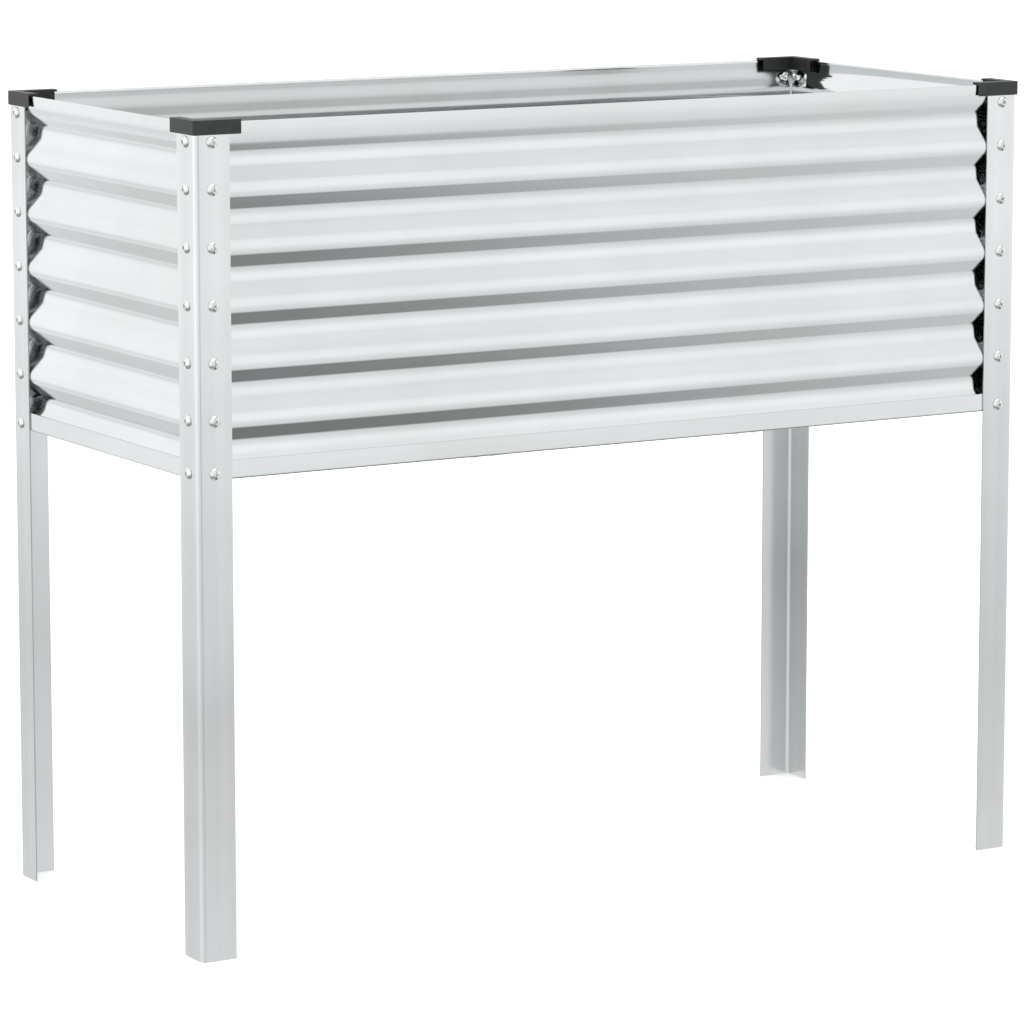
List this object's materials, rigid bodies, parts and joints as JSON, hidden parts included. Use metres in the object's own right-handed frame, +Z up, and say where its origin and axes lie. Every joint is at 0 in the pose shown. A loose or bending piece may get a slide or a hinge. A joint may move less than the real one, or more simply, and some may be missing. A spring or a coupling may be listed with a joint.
{
  "type": "raised planter on legs",
  "caption": "Raised garden planter: an open corrugated galvanised steel box bolted to angle legs, with black plastic corner caps and a drained floor.",
  "frame": {"origin": "on the floor, under the middle of the box", "axes": "+X along the length, to the right seen from the front; the front faces -Y; +Z up"},
  "size_m": [1.0326, 0.4556, 0.8746],
  "materials": {
    "galvanised_leg": "galvanised sheet, satin, fine spangle",
    "galvanised_panel": "galvanised corrugated sheet, satin",
    "galvanised_rail": "galvanised sheet, satin",
    "galvanised_floor": "galvanised sheet, satin",
    "galvanised_brace": "galvanised sheet, satin",
    "zinc_fastener": "bright zinc plate",
    "black_cap": "moulded black plastic, fine texture"
  },
  "bodies": {
    "root": {"brace_left": "galvanised_brace", "brace_right": "galvanised_brace", "cap_front_left": "black_cap", "cap_front_right": "black_cap", "cap_rear_left": "black_cap", "cap_rear_right": "black_cap", "floor_left": "galvanised_floor", "floor_middle": "galvanised_floor", "floor_nuts": "zinc_fastener", "floor_right": "galvanised_floor", "floor_screws": "zinc_fastener", "leg_front_left": "galvanised_leg", "leg_front_right": "galvanised_leg", "leg_nuts_front_left": "zinc_fastener", "leg_nuts_front_right": "zinc_fastener", "leg_nuts_rear_left": "zinc_fastener", "leg_nuts_rear_right": "zinc_fastener", "leg_rear_left": "galvanised_leg", "leg_rear_right": "galvanised_leg", "leg_screws_front_left": "zinc_fastener", "leg_screws_front_right": "zinc_fastener", "leg_screws_rear_left": "zinc_fastener", "leg_screws_rear_right": "zinc_fastener", "panel_front": "galvanised_panel", "panel_left": "galvanised_panel", "panel_rear": "galvanised_panel", "panel_right": "galvanised_panel", "rail_front": "galvanised_rail", "rail_left": "galvanised_rail", "rail_rear": "galvanised_rail", "rail_right": "galvanised_rail"}
  },
  "joints": []
}
